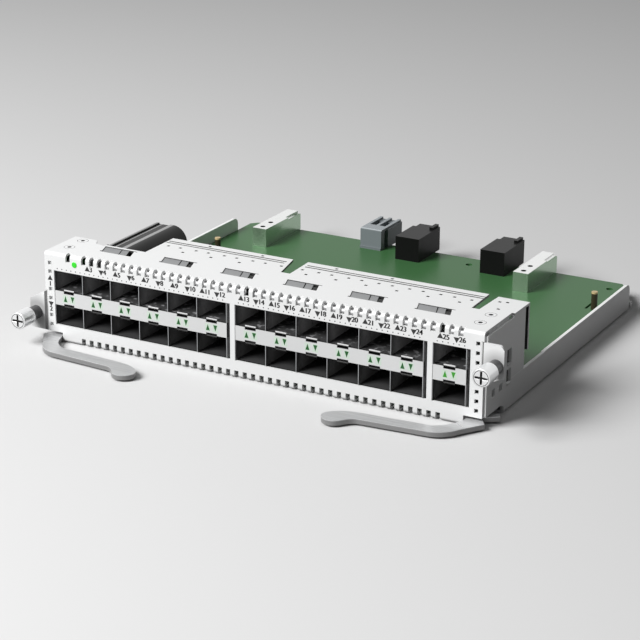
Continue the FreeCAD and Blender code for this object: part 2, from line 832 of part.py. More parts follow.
def lever_outline():
    """Flat outline of the right-hand lever: hook, root, bend, arm and finger tip."""
    hook_front = from_pivot([(3.3, -3.9), (6.4, -2.1), (9.4, 0.4)])
    hook_rear = from_pivot([(7.9, 3.1), (5.1, 1.1)])
    boss = from_pivot([(4.0, 2.1), (-4.5, 0), (-1.6, -4.2)])
    root_inner = from_pivot([(-1.6, -9.0)])
    bend_inner = from_pivot([(-3.3, -13.5), (-5.9, -17.5), (-10.2, -20.7)])
    tip = from_pivot([
        (-38.3, -22.7),
        (-44.5, -23.6),
        (-50.9, -26.9),
        (-53.1, -30.8),
        (-50.3, -35.2),
        (-45.5, -35.3),
        (-41.6, -31.1),
        (-37.5, -29.1),
    ])
    bend_outer = from_pivot([(-9.0, -27.0), (-2.7, -24.2), (0.8, -19.4)])
    root_outer = from_pivot([(7.3, -9.9), (4.1, -5.3)])
    tip_curve = Part.BSplineCurve()
    tip_curve.interpolate(tip)
    edges = [
        Part.Arc(*hook_front).toShape(),
        Part.makeLine(hook_front[2], hook_rear[0]),
        Part.makeLine(hook_rear[0], hook_rear[1]),
        Part.makeLine(hook_rear[1], boss[0]),
        Part.Arc(*boss).toShape(),
        Part.makeLine(boss[2], root_inner[0]),
        Part.makeLine(root_inner[0], bend_inner[0]),
        Part.Arc(*bend_inner).toShape(),
        Part.makeLine(bend_inner[2], tip[0]),
        tip_curve.toShape(),
        Part.makeLine(tip[-1], bend_outer[0]),
        Part.Arc(*bend_outer).toShape(),
        Part.makeLine(bend_outer[2], root_outer[0]),
        Part.makeLine(root_outer[0], root_outer[1]),
        Part.makeLine(root_outer[1], hook_front[0]),
    ]
    return Part.Wire(edges)


def lever_side(body, side):
    """Puts a piece drawn about the right-hand lever's pivot on its own side."""
    body = on_side(body, side)
    body.translate(Vector(lever_shift[side], 0, 0))
    return body


def make_lever(side):
    """Flat lever with a pivot hole and a joint line scored across its root."""
    face = Part.Face(lever_outline())
    face.translate(Vector(0, 0, lever_bottom))
    body = face.extrude(Vector(0, 0, lever_thickness))
    top = lever_bottom + lever_thickness
    hole = rod_z(lever_pivot.x, lever_pivot.y, pivot_radius + running_gap, 0, 5)
    score = block((-1, 9), (-0.2, 0.2), (top - 0.3, top + 1))
    score.rotate(Vector(0, 0, 0), Vector(0, 0, 1), -36)
    score.translate(*from_pivot([(-3.3, -13.5)]))
    return lever_side(body.cut(hole).cut(score), side)


def make_lever_bracket(side):
    """Stepped plate on the tray that roofs the lever's bay and holds its pin."""
    roof = (lever_corner_height, board_bottom - running_gap)
    x_step = lever_bay_x - 1.0
    outline = [
        (x_step - 7.0, sheet),
        (x_step, sheet),
        (x_step, roof[0]),
        (wall_inner[side] - 0.1, roof[0]),
        (wall_inner[side] - 0.1, roof[1]),
        (x_step - 1.0, roof[1]),
        (x_step - 1.0, sheet + 1.0),
        (x_step - 7.0, sheet + 1.0),
    ]
    body = front_prism(outline, 5.0, lever_bay_y)
    x = lever_pivot.x - lever_shift[side]
    return on_side(body.cut(rod_z(x, lever_pivot.y, pivot_radius, 0, 8)), side)


def make_lever_pin(side):
    """Shouldered rivet: the head below the lever and the shoulder above keep it in."""
    x, y = lever_pivot.x, lever_pivot.y
    head = rod_z(x, y, 3.4, 0.2, lever_bottom - axial_gap)
    shaft = rod_z(x, y, pivot_radius, 0.2, board_bottom + 0.6)
    shoulder = rod_z(x, y, 3.2, lever_bottom + lever_thickness + axial_gap, lever_corner_height)
    return lever_side(fused([head, shaft, shoulder]), side)


# Captive screws in the ears

def make_ferrule(side):
    """Sleeve pressed into the ear, which the screw slides and turns in."""
    z = screw_z[side]
    barrel = rod_y(screw_x, z, ferrule_radius, -ferrule_length, 0)
    neck = rod_y(screw_x, z, neck_radius, -0.1, sheet)
    bore = rod_y(screw_x, z, shank_radius + running_gap, -10, 10)
    return on_side(fused([barrel, neck]).cut(bore), side)


clip_gap = 0.3
clip_thickness = 0.8
groove_depth = 0.3


def make_screw_clip(side):
    """Retaining ring behind the ear, in a groove of the screw."""
    z = screw_z[side]
    y = sheet + clip_gap
    ring = rod_y(screw_x, z, 2.8, y, y + clip_thickness)
    bore = rod_y(screw_x, z, shank_radius - groove_depth + running_gap, 0, 10)
    return on_side(ring.cut(bore), side)


def make_thumbscrew(side):
    """Knob with a cross slot, hollow behind so that it slides over its sleeve."""
    z = screw_z[side]
    rear = knob_front + knob_length
    knob = rod_y(screw_x, z, knob_radius, knob_front, rear)
    edges = [edge for edge in knob.Edges if edge.Closed and edge.CenterOfMass.y < knob_front + 0.1]
    knob = knob.makeChamfer(0.4, edges)
    hollow = rod_y(screw_x, z, ferrule_radius + 0.3, rear - 5.2, rear + 1)
    knob = knob.cut(hollow)
    shank = rod_y(screw_x, z, shank_radius, rear - 5.5, sheet + 3.6)
    groove_front = sheet + clip_gap - running_gap
    groove = rod_y(screw_x, z, 4.0, groove_front, groove_front + clip_thickness + 2 * running_gap)
    groove = groove.cut(rod_y(screw_x, z, shank_radius - groove_depth, 0, 10))
    body = fused([knob, shank]).cut(groove)
    arm = 2.7
    half = 0.45
    depth = (knob_front - 1, knob_front + 1.2)
    cross = [
        block((screw_x - arm, screw_x + arm), depth, (z - half, z + half)),
        block((screw_x - half, screw_x + half), depth, (z - arm, z + arm)),
    ]
    return on_side(cut_all(body, cross), side)


def all_parts():
    parts = {
        "front_panel": make_front_panel(),
        "tray": make_tray(),
        "cover_screws": make_cover_screws(),
        "top_contact_spring": make_top_spring(),
        "status_light": make_status_light(),
        "circuit_board": make_board(),
        "board_standoffs": make_standoffs(),
        "power_connector": make_power_connector(),
        "air_guide": make_air_guide(),
    }
    for group in groups:
        parts[f"{group}_port_cage"] = make_cage(group)
        parts[f"{group}_light_strip"] = make_strip(group)
        parts[f"{group}_port_lights"] = make_port_lights(group)
        parts[f"{group}_port_sockets"] = make_port_sockets(group)
    for side in sides:
        parts[f"{side}_contact_spring"] = make_side_spring(side)
        parts[f"{side}_board_post"] = make_post(side)
        parts[f"{side}_guide_block"] = make_guide_block(side)
        parts[f"{side}_backplane_connector"] = make_backplane_connector(side)
        parts[f"{side}_lever"] = make_lever(side)
        parts[f"{side}_lever_bracket"] = make_lever_bracket(side)
        parts[f"{side}_lever_pin"] = make_lever_pin(side)
        parts[f"{side}_screw_ferrule"] = make_ferrule(side)
        parts[f"{side}_screw_clip"] = make_screw_clip(side)
        parts[f"{side}_thumbscrew"] = make_thumbscrew(side)
    return parts


os.makedirs("parts", exist_ok=True)
for name, shape in all_parts().items():
    shape.translate(Vector(0, -origin_depth, 0))
    shape.exportStep(os.path.join("parts", name + ".step"))
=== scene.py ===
import json
import math

import bpy
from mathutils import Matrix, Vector

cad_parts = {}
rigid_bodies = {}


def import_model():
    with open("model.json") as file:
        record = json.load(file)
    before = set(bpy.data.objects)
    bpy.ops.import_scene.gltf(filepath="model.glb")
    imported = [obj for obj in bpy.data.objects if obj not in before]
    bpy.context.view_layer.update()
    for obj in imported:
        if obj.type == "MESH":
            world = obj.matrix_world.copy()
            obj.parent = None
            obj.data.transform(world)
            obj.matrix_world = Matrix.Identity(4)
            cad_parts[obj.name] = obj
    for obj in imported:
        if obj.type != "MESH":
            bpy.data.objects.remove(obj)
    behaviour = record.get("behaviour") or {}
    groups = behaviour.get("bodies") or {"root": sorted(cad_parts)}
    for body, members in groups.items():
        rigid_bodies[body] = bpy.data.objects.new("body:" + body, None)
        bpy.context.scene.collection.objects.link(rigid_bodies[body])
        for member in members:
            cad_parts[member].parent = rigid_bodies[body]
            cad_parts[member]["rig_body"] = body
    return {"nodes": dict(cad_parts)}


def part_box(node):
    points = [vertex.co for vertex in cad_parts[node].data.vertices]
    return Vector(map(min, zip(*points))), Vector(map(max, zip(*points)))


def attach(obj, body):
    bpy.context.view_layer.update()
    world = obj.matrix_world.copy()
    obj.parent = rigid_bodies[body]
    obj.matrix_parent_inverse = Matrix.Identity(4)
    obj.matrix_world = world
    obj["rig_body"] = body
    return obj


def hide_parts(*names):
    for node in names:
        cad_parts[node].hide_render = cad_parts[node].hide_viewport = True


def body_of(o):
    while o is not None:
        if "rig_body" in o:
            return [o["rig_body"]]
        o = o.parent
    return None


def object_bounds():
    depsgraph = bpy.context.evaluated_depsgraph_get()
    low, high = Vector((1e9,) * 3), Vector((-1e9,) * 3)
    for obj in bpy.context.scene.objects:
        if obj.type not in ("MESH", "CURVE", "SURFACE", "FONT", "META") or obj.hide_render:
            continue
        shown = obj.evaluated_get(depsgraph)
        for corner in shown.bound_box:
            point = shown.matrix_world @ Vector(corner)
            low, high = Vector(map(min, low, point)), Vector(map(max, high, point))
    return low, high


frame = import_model()
cad_low, cad_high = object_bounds()
bpy.context.scene.view_settings.view_transform = "Standard"


# Tray. Its floor, rails, end walls and two ears are bent from one steel sheet and coated
# in satin white. Painted shade darkens a seam where each ear meets the front panel and
# each ear round its sleeve, and a painted highlight lightens the rails' top edges.
mm = 0.001
panel_low, panel_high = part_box("front_panel")
face_y = panel_low.y
hair = 0.05 * mm

paint_color = (0.82, 0.825, 0.825)
paint_rough = 0.42
paint_grain_scale = 900.0
paint_grain_depth = 0.02 * mm
paint_grain_strength = 0.25
# Painted shade: the seam colour darkens the gap where each ear meets the panel.
seam_shade_color = (0.12, 0.12, 0.12)
left_seam = (-103.9 * mm, -102.3 * mm)
right_seam = (102.3 * mm, 102.8 * mm)
ear_skin = 0.3 * mm
ear_shade_color = (0.42, 0.42, 0.42)
ear_shade_radius = {"left": 9.5 * mm, "right": 7.5 * mm}
ear_shade_fade = 5.0 * mm
# Painted highlight along the lit top edges of the rails.
rail_highlight_color = (0.95, 0.96, 0.95)
rail_top = 13.0 * mm
rail_edge = 0.2 * mm

weld_reach = 0.002 * mm
flat_angle = math.radians(0.5)
sharp_angle = math.radians(50)
smooth_angle = math.radians(40)


class Socket:
    """A value in a node tree that can be used in plain arithmetic."""

    def __init__(self, shading, link):
        self.shading = shading
        self.link = link

    def combine(self, operation, first, second=0.0):
        """The result of one Math node; an operation on one value leaves the second unused."""
        made = self.shading.node("ShaderNodeMath", {0: first, 1: second}, operation=operation)
        return self.shading.out(made, "Value")

    def __add__(self, other):
        return self.combine("ADD", self, other)

    def __radd__(self, other):
        return self.combine("ADD", other, self)

    def __sub__(self, other):
        return self.combine("SUBTRACT", self, other)

    def __rsub__(self, other):
        return self.combine("SUBTRACT", other, self)

    def __mul__(self, other):
        return self.combine("MULTIPLY", self, other)

    def __rmul__(self, other):
        return self.combine("MULTIPLY", other, self)

    def above(self, other):
        return self.combine("GREATER_THAN", self, other)

    def below(self, other):
        return self.combine("LESS_THAN", self, other)

    def between(self, low, high):
        return self.above(low) * self.below(high)

    def near(self, middle, reach):
        return (self - middle).size().below(reach)

    def either(self, other):
        return self.combine("MAXIMUM", self, other)

    def size(self):
        return self.combine("ABSOLUTE", self)

    def repeat(self, period):
        """What is left after whole periods, never negative."""
        return self.combine("FLOORED_MODULO", self, period)

    def reach(self, other):
        """Length of the flat vector that this value and another one span."""
        return self.combine("SQRT", self * self + other * other)


class Shading:
    """A node tree that is filled node by node."""

    def __init__(self, tree):
        self.tree = tree

    def node(self, kind, sockets=None, **settings):
        """Adds a node, sets it up, then fills its sockets."""
        made = self.tree.nodes.new(kind)
        for name, value in settings.items():
            setattr(made, name, value)
        self.fill(made, sockets or {})
        return made

    def fill(self, node, sockets):
        """Gives sockets their links, colours or numbers, by name or by position."""
        for name, value in sockets.items():
            socket = node.inputs[name]
            if isinstance(value, Socket):
                self.tree.links.new(value.link, socket)
            elif socket.type == "RGBA":
                socket.default_value = (*value, 1)
            else:
                socket.default_value = value

    def out(self, node, name):
        return Socket(self, node.outputs[name])

    def seen(self):
        """One for rays from the camera and from mirrors, zero for light between surfaces."""
        path = self.node("ShaderNodeLightPath")
        mirrored = self.out(path, "Is Glossy Ray").either(self.out(path, "Is Transmission Ray"))
        return self.out(path, "Is Camera Ray").either(mirrored)


class Finish(Shading):
    """A material on one Principled shader, worked out from the surface's place."""

    def __init__(self, name, color, rough, metal=0.0, specular=0.5):
        self.material = bpy.data.materials.new(name)
        self.material.use_nodes = True
        super().__init__(self.material.node_tree)
        self.shader = self.tree.nodes["Principled BSDF"]
        self.give({
            "Base Color": color,
            "Roughness": rough,
            "Metallic": metal,
            "Specular IOR Level": specular,
        })

    def give(self, sockets):
        self.fill(self.shader, sockets)

    def spot(self):
        """The surface's place in the card's frame, in metres."""
        return self.out(self.node("ShaderNodeTexCoord"), "Object")

    def split(self, vector):
        parts = self.node("ShaderNodeSeparateXYZ", {"Vector": vector})
        return [self.out(parts, axis) for axis in "XYZ"]

    def place(self):
        """X, Y and Z of the surface's place."""
        return self.split(self.spot())

    def facing(self):
        """X, Y and Z of the direction that the surface faces."""
        return self.split(self.out(self.node("ShaderNodeNewGeometry"), "Normal"))

    def grain(self, spot, scale):
        """A soft random value about one half."""
        sockets = {"Vector": spot, "Scale": scale, "Detail": 2.0}
        return self.out(self.node("ShaderNodeTexNoise", sockets), "Fac")

    def mix(self, share, first, second):
        """A colour between two others."""
        # Sockets 6 and 7 take the two colours, and output 2 gives the mixed one.
        made = self.node("ShaderNodeMix", {0: share, 6: first, 7: second}, data_type="RGBA")
        return Socket(self, made.outputs[2])

    def color_in(self, color, *layers):
        """Colours the finish, with each further layer on top where its mask is one."""
        for mask, layer_color in layers:
            color = self.mix(mask, color, layer_color)
        self.give({"Base Color": color})

    def emboss(self, height, depth, strength):
        """Raises and sinks the look of the surface."""
        sockets = {"Height": height, "Distance": depth, "Strength": strength}
        self.give({"Normal": self.out(self.node("ShaderNodeBump", sockets), "Normal")})


def select_only(piece):
    bpy.ops.object.select_all(action="DESELECT")
    piece.select_set(True)
    bpy.context.view_layer.objects.active = piece


def dress(node, finish, bevel=0.0):
    """Shows a smoothed copy of a CAD node in a finish, in that node's place."""
    source = frame["nodes"][node]
    piece = bpy.data.objects.new(node + "_shown", source.data.copy())
    bpy.context.scene.collection.objects.link(piece)
    select_only(piece)
    bpy.ops.object.mode_set(mode="EDIT")
    bpy.ops.mesh.select_all(action="SELECT")
    bpy.ops.mesh.remove_doubles(threshold=weld_reach)
    bpy.ops.mesh.dissolve_limited(angle_limit=flat_angle)
    bpy.ops.object.mode_set(mode="OBJECT")
    if bevel:
        edge = piece.modifiers.new("edge", "BEVEL")
        edge.width = bevel
        edge.segments = 2
        edge.limit_method = "ANGLE"
        edge.angle_limit = sharp_angle
        bpy.ops.object.modifier_apply(modifier="edge")
    bpy.ops.object.shade_smooth_by_angle(angle=smooth_angle)
    piece.modifiers.new("flats", "WEIGHTED_NORMAL").keep_sharp = True
    bpy.ops.object.modifier_apply(modifier="flats")
    piece.data.materials.clear()
    piece.data.materials.append(finish.material)
    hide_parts(node)
    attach(piece, body_of(source)[0])


def coat(name):
    """Satin white coating with a faint grain."""
    paint = Finish(name, paint_color, rough=paint_rough)
    grain = paint.grain(paint.spot(), paint_grain_scale)
    paint.emboss(grain, paint_grain_depth, paint_grain_strength)
    return paint


tray_coat = coat("tray_coat")
x, y, z = tray_coat.place()
ear_front = y.below(face_y + ear_skin)
rail_highlight = z.between(rail_top - rail_edge - hair, rail_top + hair)
tray_layers = [(rail_highlight, rail_highlight_color)]
# Painted shade on each ear's face, fading out round its sleeve.
for side, radius in ear_shade_radius.items():
    sleeve_low, sleeve_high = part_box(side + "_screw_ferrule")
    sleeve = (sleeve_low + sleeve_high) / 2
    shade = (radius - (x - sleeve.x).reach(z - sleeve.z)) * (1 / ear_shade_fade)
    tray_layers.append((shade * ear_front, ear_shade_color))
# Painted shade in the seam between each ear and the panel.
seam_shade = x.between(*left_seam).either(x.between(*right_seam))
tray_layers.append((ear_front * seam_shade, seam_shade_color))
tray_coat.color_in(paint_color, *tray_layers)
dress("tray", tray_coat, bevel=rail_edge)


# Circuit board. A green solder mask covers its fibreglass laminate. It lies on steel
# pillars that stand on the tray's floor.
board_color = (0.048, 0.14, 0.05)
pillar_color = (0.55, 0.55, 0.56)
solder_mask = Finish("solder_mask", board_color, rough=0.32, specular=0.1)
pillar_steel = Finish("pillar_steel", pillar_color, rough=0.3, metal=0.8)
dress("circuit_board", solder_mask)
dress("board_standoffs", pillar_steel)


# Board pins. Two turned brass pins stand on the tray and pass through the board. Their
# sides are coloured dark, and their tops bright.
pin_color = (0.035, 0.03, 0.016)
pin_top_color = (0.55, 0.42, 0.22)
pin_top_height = 0.8 * mm
pin_brass = Finish("pin_brass", pin_color, rough=0.35, specular=0.2)
x, y, z = pin_brass.place()
pin_top = z.above(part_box("left_board_post")[1].z - pin_top_height)
pin_brass.color_in(pin_color, (pin_top, pin_top_color))
for side in ("left", "right"):
    dress(side + "_board_post", pin_brass)


# Guide blocks. They are plated castings that stand on the board's rear corners. Their
# sides carry a painted green reflection of the board, and two painted dark discs in each
# top stand for the shade in its screw holes.
guide_color = (0.9, 0.91, 0.9)
# Painted reflection of the green board on the sides.
guide_side_reflection_color = (0.39, 0.52, 0.39)
# Painted shade for the inside of each screw hole.
guide_hole_shade_color = (0.02, 0.02, 0.02)
guide_holes = (3.5 * mm, 11.1 * mm)
guide_hole_radius = 1.25 * mm
upward = 0.5


def guide_plating(side):
    """Bright cast metal, with a painted reflection of the board on its sides and painted shade in two
    holes in its top.
    """
    finish = Finish(side + "_guide_plating", guide_color, rough=0.25, metal=0.9)
    x, y, z = finish.place()
    low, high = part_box(side + "_guide_block")
    aside = x - (low.x + high.x) / 2
    first, second = [aside.reach(y - (low.y + hole)).below(guide_hole_radius) for hole in guide_holes]
    top = finish.facing()[2].above(upward)
    finish.color_in(guide_side_reflection_color, (top, guide_color), (first.either(second), guide_hole_shade_color))
    return finish


for side in ("left", "right"):
    dress(side + "_guide_block", guide_plating(side))


# Rear connectors. The power connector is moulded in blue-grey plastic, with a painted
# highlight along its top, and the two backplane connectors in black. All three stand at
# the board's rear edge.
power_color = (0.14, 0.16, 0.17)
# Painted highlight along the power connector's top.
power_top_highlight_color = (0.3, 0.33, 0.35)
power_top_height = 0.3 * mm
backplane_color = (0.006, 0.006, 0.006)
power_plastic = Finish("power_plastic", power_color, rough=0.5)
x, y, z = power_plastic.place()
power_top_highlight = z.above(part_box("power_connector")[1].z - power_top_height)
power_plastic.color_in(power_color, (power_top_highlight, power_top_highlight_color))
backplane_plastic = Finish("backplane_plastic", backplane_color, rough=0.35, specular=0.1)
dress("power_connector", power_plastic)
for side in ("left", "right"):
    dress(side + "_backplane_connector", backplane_plastic)


# Air guide. An arch of glossy dark plastic, open below, reaches from the first ports
# back over the board. Three pale stripes of painted highlight along its top stand for its gloss.
duct_color = (0.012, 0.012, 0.012)
# Painted highlight colour of the pale stripes.
duct_highlight_color = (0.3, 0.3, 0.3)
duct_highlight_bands = ((0.0, 0.9 * mm), (2.6 * mm, 3.3 * mm), (6.2 * mm, 9.0 * mm))
duct_top_height = 1.5 * mm
duct_plastic = Finish("duct_plastic", duct_color, rough=0.3, specular=0.15)
x, y, z = duct_plastic.place()
duct_low, duct_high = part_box("air_guide")
across = x - duct_low.x
first, second, third = [across.between(*band) for band in duct_highlight_bands]
bands = first.either(second).either(third) * z.above(duct_high.z - duct_top_height)
duct_plastic.color_in(duct_color, (bands, duct_highlight_color))
dress("air_guide", duct_plastic)


# Port cages. Each is folded from thin plated steel round its ports, with a latch tongue
# for each. Painted highlights lighten the upper tongues, and painted shade darkens the
# lower tongues and the insides of the ports, lighter deep inside and in the upper row.
groups = {"left": 6, "middle": 6, "right": 1}
port_pitch = 14.25 * mm
cage_wall = 0.25 * mm
cage_color = (0.42, 0.43, 0.44)
cage_side_color = (0.35, 0.35, 0.355)
# Painted shade inside the ports: walls, floors, and the deeper parts of each row.
port_wall_shade = (0.04, 0.04, 0.041)
port_floor_shade = (0.05, 0.05, 0.051)
upper_port_deep_shade = (0.6, 0.6, 0.605)
lower_port_deep_shade = (0.3, 0.3, 0.302)
cage_depth = 6.0 * mm
cage_skin = 0.03 * mm
rim_depth = 0.42 * mm
speck_color = (0.4, 0.4, 0.41)
speck_scale = 420.0
speck_level = 0.56
speck_gain = 5.0
ports_split_z = 20.0 * mm
ports_top_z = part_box("left_port_cage")[1].z - 0.2 * mm
# Painted highlight on the upper tongues, and painted shade on the lower ones.
tongue_highlight_color = (0.9, 0.9, 0.9)
lower_tongue_shade_color = (0.004, 0.004, 0.004)
tongue_depth = 1.2 * mm
tongue_span = (3.0 * mm, 11.0 * mm)
tongue_level = (23.35 * mm, 24.0 * mm)


def cage_steel(group):
    """Plated grey sheet on its front edges and outer side, with painted shade in the ports and on lower
    tongues, and a painted highlight on upper tongues.
    """
    finish = Finish(group + "_cage_steel", cage_color, rough=0.38, specular=0.15)
    x, y, z = finish.place()
    up = finish.facing()[2]
    low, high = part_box(group + "_port_cage")

    # Painted shade inside the ports, darkest at the front and lighter deep inside.
    in_port = (y - face_y) * (1 / cage_depth) * z.below(ports_top_z) * up.size().below(upward)
    deep = finish.mix(z.above(ports_split_z), lower_port_deep_shade, upper_port_deep_shade)
    walls = finish.mix(up.above(upward), port_wall_shade, port_floor_shade)
    specks = (finish.grain(finish.spot(), speck_scale) - speck_level) * speck_gain
    specks = specks * y.above(face_y + tongue_depth) * z.between(ports_split_z, ports_top_z)

    tongue = (x - low.x).repeat(port_pitch).between(*tongue_span) * y.below(face_y + tongue_depth)
    rim = y.below(face_y + rim_depth) * z.below(ports_top_z) * (1 - tongue)
    outside = x.above(high.x - cage_skin).either(x.below(low.x + cage_skin))
    outside = outside.either(y.above(high.y - cage_skin))
    finish.color_in(
        walls,
        (in_port, deep),
        (specks, speck_color),
        (rim, cage_color),
        (outside, cage_side_color),
        (tongue * z.below(ports_split_z), lower_tongue_shade_color),
        (tongue * z.between(*tongue_level), tongue_highlight_color),
    )
    return finish


for group in groups:
    dress(group + "_port_cage", cage_steel(group))


# Port sockets. A dark moulded contact housing closes each port at its rear, deep inside
# the cage, where hardly any light falls.
socket_color = (0.09, 0.09, 0.09)
socket_plastic = Finish("socket_plastic", socket_color, rough=0.5)
for group in groups:
    dress(group + "_port_sockets", socket_plastic)


# Light strips and port lights. A light grey metal strip runs between the two rows of
# ports in each cage, and holds a pair of small green lights for each column. A pale
# painted glow lies round each light, and painted shade behind the strip's front.
strip_color = (0.66, 0.665, 0.665)
strip_middle_z = 19.85 * mm
port_middle = 7.0 * mm
# Painted glow round each port light.
halo_glow_color = (0.6, 0.7, 0.61)
halo_reach = (1.35 * mm, 1.75 * mm)
arrow_reach = (0.95 * mm, 1.35 * mm)
arrow_offset = 1.8 * mm
arrow_colors = {"left": (0.004, 0.09, 0.012), "middle": (0.004, 0.09, 0.012), "right": (0.04, 0.3, 0.02)}
# Painted shade behind the strip's front face.
strip_notch_shade_color = (0.02, 0.02, 0.02)
notch_depth = 0.28 * mm


def strip_grey(group):
    """Light grey, with a painted pale glow and a printed arrow round each light, and painted shade
    behind its front.
    """
    finish = Finish(group + "_strip_grey", strip_color, rough=0.5)
    x, y, z = finish.place()
    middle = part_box(group + "_port_cage")[0].x + cage_wall + port_middle
    along = (x - (middle - port_pitch / 2)).repeat(port_pitch) - port_pitch / 2
    up = (strip_middle_z - z) * (1 - 2 * along.above(0.0))
    aside = (along.size() - arrow_offset).size()
    halo = aside.below(halo_reach[0]) * up.size().below(halo_reach[1])
    slope = arrow_reach[0] / (2 * arrow_reach[1])
    arrow = aside.below((up + arrow_reach[1]) * slope) * up.size().below(arrow_reach[1])
    notch_shade = y.above(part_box(group + "_light_strip")[0].y + notch_depth)
    finish.color_in(strip_color, (halo, halo_glow_color), (arrow, arrow_colors[group]), (notch_shade, strip_notch_shade_color))
    return finish


for group in groups:
    dress(group + "_light_strip", strip_grey(group))
    arrow_green = Finish(group + "_arrow_green", arrow_colors[group], rough=0.35)
    dress(group + "_port_lights", arrow_green)


# Status light. One round light pipe of clear plastic stands in the panel's top left
# corner and glows green.
status_color = (0.03, 0.6, 0.02)
status_glow_color = (0.02, 0.6, 0.01)
status_glow = 0.2
status_green = Finish("status_green", status_color, rough=0.3)
status_green.give({"Emission Color": status_glow_color, "Emission Strength": status_glow})
dress("status_light", status_green)


# Top contact spring. One liner of spring steel lies under the cover. Its bright fingers
# stand in the slots of the panel's top bend, and its grey pads in the cover's windows.
# Painted shade darkens three slots at the left end, two single slots and all behind the
# fingers, and lighter painted shade the rest of each slot.
cover_z = panel_high.z
finger_color = (0.78, 0.785, 0.79)
pad_color = (0.23, 0.235, 0.24)
slot_shade_color = (0.75, 0.75, 0.75)
# Painted shade for the spring steel that lies in shadow.
steel_shade_color = (0.012, 0.012, 0.012)
finger_depth = 1.9 * mm
finger_drop = 3.05 * mm
arm_depth = 4.2 * mm
pad_drop = 0.4 * mm
slot_pitch = 4.0 * mm
first_slot_x = panel_low.x + 20.0 * mm
dark_slots = (20, 42)
dark_end_slots = 3

liner_steel = Finish("liner_steel", pad_color, rough=0.35)
x, y, z = liner_steel.place()
# Painted shade on the end slots, two single slots and all behind the fingers.
behind = x.below(first_slot_x + (dark_end_slots - 0.5) * slot_pitch)
behind = behind.either(y.above(face_y + arm_depth))
for index in dark_slots:
    behind = behind.either(x.near(first_slot_x + index * slot_pitch, slot_pitch / 2))
finger = y.below(face_y + finger_depth) * z.above(cover_z - finger_drop)
pad = y.above(face_y + arm_depth) * z.above(cover_z - pad_drop)
liner_steel.color_in(
    slot_shade_color,
    (behind, steel_shade_color),
    (finger, finger_color),
    (pad, pad_color),
)
dress("top_contact_spring", liner_steel)


# Side contact springs. A plate of the same spring steel stands behind the slots of each
# wall, and its small lips reach through them. The plate is painted dark as shade, and
# the lips in the bright finger colour.
lip_reach = 1.0 * mm
for side, outward in (("left", -1), ("right", 1)):
    spring_steel = Finish(side + "_spring_steel", pad_color, rough=0.35)
    x, y, z = spring_steel.place()
    low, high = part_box(side + "_contact_spring")
    tip = max(abs(low.x), abs(high.x)) - lip_reach
    # Painted shade on the plate; the lips take the finger colour.
    spring_steel.color_in(steel_shade_color, ((outward * x).above(tip), finger_color))
    dress(side + "_contact_spring", spring_steel)


# Front panel. The face and the top cover are one bent steel sheet, coated in satin white
# like the tray. Two rows of beads are pressed into the cover and painted dark as shade in
# their grooves, and painted shade darkens the walls of the cover's openings and the
# return under its rear edge.
cover_sheet = 1.0 * mm
cover_skin = 0.5 * mm
box_span = (6.0 * mm, 42.0 * mm)
box_wall = 3.5 * mm
# Painted shade on the walls of the cover's openings and on the rear return.
hole_wall_shade_color = (0.035, 0.035, 0.035)
# Painted shade in the bead grooves.
bead_shade_color = (0.06, 0.06, 0.06)
bead_rows = (35.9 * mm, 37.9 * mm)
bead_half = 0.45 * mm
left_bead = (-64.0 * mm, -5.5 * mm)
right_bead = (4.5 * mm, panel_high.x - 18.0 * mm)
return_depth = 39.5 * mm

panel_coat = coat("panel_coat")
x, y, z = panel_coat.place()
hole_wall_shade = z.between(cover_z - cover_sheet, cover_z - hair) * x.size().below(panel_high.x - box_wall)
hole_wall_shade = hole_wall_shade * y.between(face_y + box_span[0], face_y + box_span[1] - hair)
return_strip_shade = y.above(face_y + return_depth) * z.below(cover_z - cover_sheet)
return_strip_shade = return_strip_shade * x.below(panel_high.x - hair)
front_row, rear_row = [y.near(face_y + row, bead_half) for row in bead_rows]
beads = front_row.either(rear_row) * x.between(*left_bead).either(x.between(*right_bead))
beads = beads * z.above(cover_z - cover_skin)
panel_coat.color_in(paint_color, (beads, bead_shade_color), (hole_wall_shade.either(return_strip_shade), hole_wall_shade_color))
dress("front_panel", panel_coat)


# Cover screws. Four flush screws hold the cover, coated with it, so that only the thin
# ring about each head and the recess in its middle are painted dark as shade.
screw_shade_color = (0.03, 0.03, 0.03)
screw_radius = 2.45 * mm
screw_ring = 2.25 * mm
screw_recess = 0.95 * mm
coated_screw = Finish("coated_screw", paint_color, rough=paint_rough)
x, y, z = coated_screw.place()
screws_low, screws_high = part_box("cover_screws")
row_middle = (screws_low.y + screws_high.y) / 2
row_reach = (screws_high.y - screws_low.y) / 2 - screw_radius
aside = x.size() - (screws_high.x - screw_radius)
away = aside.reach((y - row_middle).size() - row_reach)
# Painted shade in the ring round each head and in its recess.
dark = away.above(screw_ring).either(away.below(screw_recess)) * z.above(cover_z - cover_skin)
coated_screw.color_in(paint_color, (dark, screw_shade_color))
dress("cover_screws", coated_screw)


# Panel print. The port numbers, the arrows beside them and the rows of fine dots are
# printed in black ink on the white panel, above and beside the ports that they count.
ink_color = (0.015, 0.015, 0.015)
ink_thickness = 0.03 * mm
letter_size = 2.982
letter_gap = 0.95
bold_shifts = (-0.13 * mm, 0.0, 0.13 * mm)
arrow_size = 1.5 * mm
label_z = 35.15 * mm
label_offsets = (2.85 * mm, 9.85 * mm)
number_gap = 1.1 * mm
side_label_x = panel_low.x + 2.6 * mm
side_label_levels = ((28.1 * mm, 25.6 * mm), (16.8 * mm, 14.2 * mm))
dot_radius = 0.26 * mm
dot_pitch = 2.35 * mm
first_dot = 1.6 * mm
dot_z = 33.1 * mm
black_ink = Finish("black_ink", ink_color, rough=0.6)


